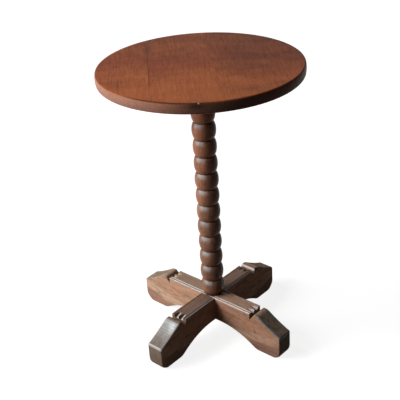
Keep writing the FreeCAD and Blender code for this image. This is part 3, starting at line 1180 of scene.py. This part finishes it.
class SIDE_TABLE_OT_add_cleat(bpy.types.Operator):
    """Add the cleat under the boards, with its six countersunk screws"""
    bl_idname = "side_table.add_cleat"
    bl_label = "Cleat and Screws"

    def execute(self, context):
        sizes = context.scene.table_cleat_sizes
        colours = context.scene.table_colours
        cleat = self.batten(sizes)
        low = cleat_low.z - OVERRUN
        places = [(sizes.length / 2 * along, sizes.width / 2 * across) for along, across in SCREW_PLACES]
        tenon = context.scene.table_column_sizes.tenon_radius + FIT_GAP
        holes = [rod("hole", tenon, (0, 0, low), (0, 0, cleat_high.z + OVERRUN), BORE_SIDES)]
        seat = cleat_low.z + sizes.screw_depth
        for x, y in places:
            holes.append(rod(
                "sink", sizes.screw_radius + 0.1 * MM, (x, y, low), (x, y, seat + sizes.screw_height)))
        cut_away(cleat, holes)
        turned(cleat, BOARD_TURN)
        clean(cleat)
        smooth(cleat)
        wood = planed_wood("cleat_planed", colours.cleat_brown, colours.foot_dark_and_shade, -BOARD_TURN)
        finish_piece(cleat, wood, ["top_cleat"])
        steel = screw_steel(colours)
        screw = self.screw(sizes)
        for number, (x, y) in enumerate(places, 1):
            head = copy_of(screw, f"cleat_screw_{number}")
            head.rotation_euler.z = SCREW_TURN * number
            head.location = (x, y, seat)
            settle(head, head.name)
            turned(head, BOARD_TURN)
            smooth(head)
            finish_piece(head, steel)
        bpy.data.objects.remove(screw, do_unlink=True)
        return {"FINISHED"}

    def batten(self, sizes):
        """Batten with bevelled ends and eased edges."""
        half = sizes.length / 2
        side = sizes.width / 2
        batten = block("cleat", (-half, -side, cleat_low.z), (half, side, cleat_high.z))
        edit(batten)
        shoulder = half - sizes.bevel_run
        for place in (-shoulder, shoulder):
            slice_at((place, 0, 0), (1, 0, 0))
        lift(sizes.bevel_drop, lambda co: near(abs(co.x), half) and near(co.z, cleat_low.z))
        ease(batten, sizes.arris, angle=25)
        return batten

    def screw(self, sizes):
        """Slotted countersunk head, with its face down at zero."""
        head = rod("screw", sizes.screw_radius, (0, 0, 0), (0, 0, sizes.screw_height))
        edit(head)
        pick(lambda co: near(co.z, sizes.screw_height))
        widen(sizes.screw_taper, sizes.screw_height)
        wide = sizes.screw_slot / 2
        long = 2 * sizes.screw_radius
        cut_away(head, [block("slot", (-long, -wide, -1 * MM), (long, wide, sizes.screw_slot))])
        ease(head, 0.15 * MM, segments=2)
        return head


class SIDE_TABLE_OT_finish_wedges(bpy.types.Operator):
    """Finish the two wedges that spread the tenons"""
    bl_idname = "side_table.finish_wedges"
    bl_label = "Tenon Wedges"

    def execute(self, context):
        colours = context.scene.table_colours
        wood = planed_wood("wedge_planed", colours.wedge_brown, colours.foot_brown, stretch=(1, 1, 0.05))
        for node in ("head_wedge", "foot_wedge"):
            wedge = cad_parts[node]
            wedge.data.materials.clear()
            wedge.data.materials.append(wood)
        return {"FINISHED"}


# Stage

class SIDE_TABLE_OT_set_stage(bpy.types.Operator):
    """Set the pale floor, the lamps, the room and the camera"""
    bl_idname = "side_table.set_stage"
    bl_label = "Stage"

    def execute(self, context):
        settings = context.scene.table_stage
        self.floor(settings)
        self.room(context.scene, settings)
        self.lamp("window", settings.window_power, width=1.4, direction=(-0.56, -0.70, 0.43))
        self.lamp("high_pane", settings.pane_power, width=0.4, direction=(-0.57, -0.28, 0.77))
        self.camera(context.scene)
        context.scene.view_settings.view_transform = "Standard"
        return {"FINISHED"}

    def floor(self, settings):
        """Wide floor that turns up into a low cove all round."""
        flat, cove, rings = 7.0, 1.5, 8
        floor = drawn_up("floor", FLOOR_SIDES, [
            (flat + cove * math.sin(turn), cove * (1 - math.cos(turn)))
            for turn in even_steps(0, math.pi / 2, rings)])
        pick(lambda co: near(co.z, 0))
        bpy.ops.mesh.edge_face_add()
        smooth(floor, 40)
        floor.data.materials.append(self.floor_paint(settings))

    def floor_paint(self, settings):
        """Pale floor: white where it is seen, with the table's soft shadow near its feet."""
        paint = Finish("floor_paint")
        tone = settings.floor_tone
        matt = paint.add("BsdfDiffuse", Color=(tone, tone * 0.97, tone * 0.93, 1))
        pale = paint.add("BsdfDiffuse", Color=(0.3, 0.3, 0.3, 1))
        away = paint.length(paint.x, paint.y)
        strength = paint.spread(paint.fade(away, 0.5, 1.3), 0, 1, 0.86, 1.0)
        glow = paint.add("Emission", Color=(1, 1, 1, 1), Strength=strength)
        shown = paint.add("AddShader", pale.outputs[0], glow.outputs[0])
        return paint.surface(
            paint.add("MixShader", paint.looked_at(), matt.outputs[0], shown.outputs[0]))

    def room(self, scene, settings):
        """White where it is seen, dim where it lights the table."""
        scene.world = bpy.data.worlds.new("room")
        scene.world.use_nodes = True
        room = Nodes(scene.world.node_tree)
        strength = room.spread(room.looked_at(), 0, 1, settings.room_light, 1.0)
        light = room.add("Background", Color=(1, 1, 1, 1), Strength=strength)
        room.add("OutputWorld", Surface=light.outputs[0])

    def lamp(self, name, power, width, direction):
        """Square lamp in a direction from the table, facing the column."""
        aim, distance = Vector((0, 0, 0.35)), 2.2
        way = Vector(direction).normalized()
        turn = way.to_track_quat("Z", "Y").to_euler()
        bpy.ops.object.light_add(type="AREA", location=aim + way * distance, rotation=turn)
        lamp = bpy.context.object
        lamp.name = name
        lamp.data.shape = "SQUARE"
        lamp.data.size = width
        lamp.data.energy = power
        lamp.visible_camera = False

    def camera(self, scene):
        """Camera fitted to the table's outlines in a square frame."""
        yaw, down, lean = math.radians(42.55), math.radians(28.33), math.radians(-3.67)
        turn = (Matrix.Rotation(yaw, 4, "Z") @ Matrix.Rotation(math.pi / 2 - down, 4, "X")
                @ Matrix.Rotation(lean, 4, "Z"))
        bpy.ops.object.camera_add(location=(1.0006, -1.1142, 1.1210), rotation=turn.to_euler())
        camera = bpy.context.object
        camera.data.lens = 74.6
        scene.camera = camera


BUILD_ORDER = (
    SIDE_TABLE_OT_add_top,
    SIDE_TABLE_OT_add_column,
    SIDE_TABLE_OT_add_feet,
    SIDE_TABLE_OT_add_cleat,
    SIDE_TABLE_OT_finish_wedges,
    SIDE_TABLE_OT_set_stage,
)
SIZE_GROUPS = {
    "table_top_sizes": TopSizes,
    "table_column_sizes": ColumnSizes,
    "table_foot_sizes": FootSizes,
    "table_cleat_sizes": CleatSizes,
    "table_colours": WoodColours,
    "table_stage": StageSettings,
}


class VIEW3D_PT_side_table(bpy.types.Panel):
    """Buttons for the table's pieces, in the order in which they are built"""
    bl_label = "Side Table"
    bl_space_type = "VIEW_3D"
    bl_region_type = "UI"
    bl_category = "Side Table"

    def draw(self, context):
        for piece in BUILD_ORDER:
            self.layout.operator(piece.bl_idname)
        for group, kind in SIZE_GROUPS.items():
            column = self.layout.column(align=True)
            for name in kind.__annotations__:
                column.prop(getattr(context.scene, group), name)


def register():
    for kind in (*SIZE_GROUPS.values(), *BUILD_ORDER, VIEW3D_PT_side_table):
        bpy.utils.register_class(kind)
    for name, kind in SIZE_GROUPS.items():
        setattr(bpy.types.Scene, name, PointerProperty(type=kind))


def unregister():
    for name in SIZE_GROUPS:
        delattr(bpy.types.Scene, name)
    for kind in (VIEW3D_PT_side_table, *reversed(BUILD_ORDER), *SIZE_GROUPS.values()):
        bpy.utils.unregister_class(kind)


def main():
    register()
    bpy.ops.side_table.add_top()
    bpy.ops.side_table.add_column()
    bpy.ops.side_table.add_feet()
    bpy.ops.side_table.add_cleat()
    bpy.ops.side_table.finish_wedges()
    bpy.ops.side_table.set_stage()


if __name__ == "__main__":
    main()
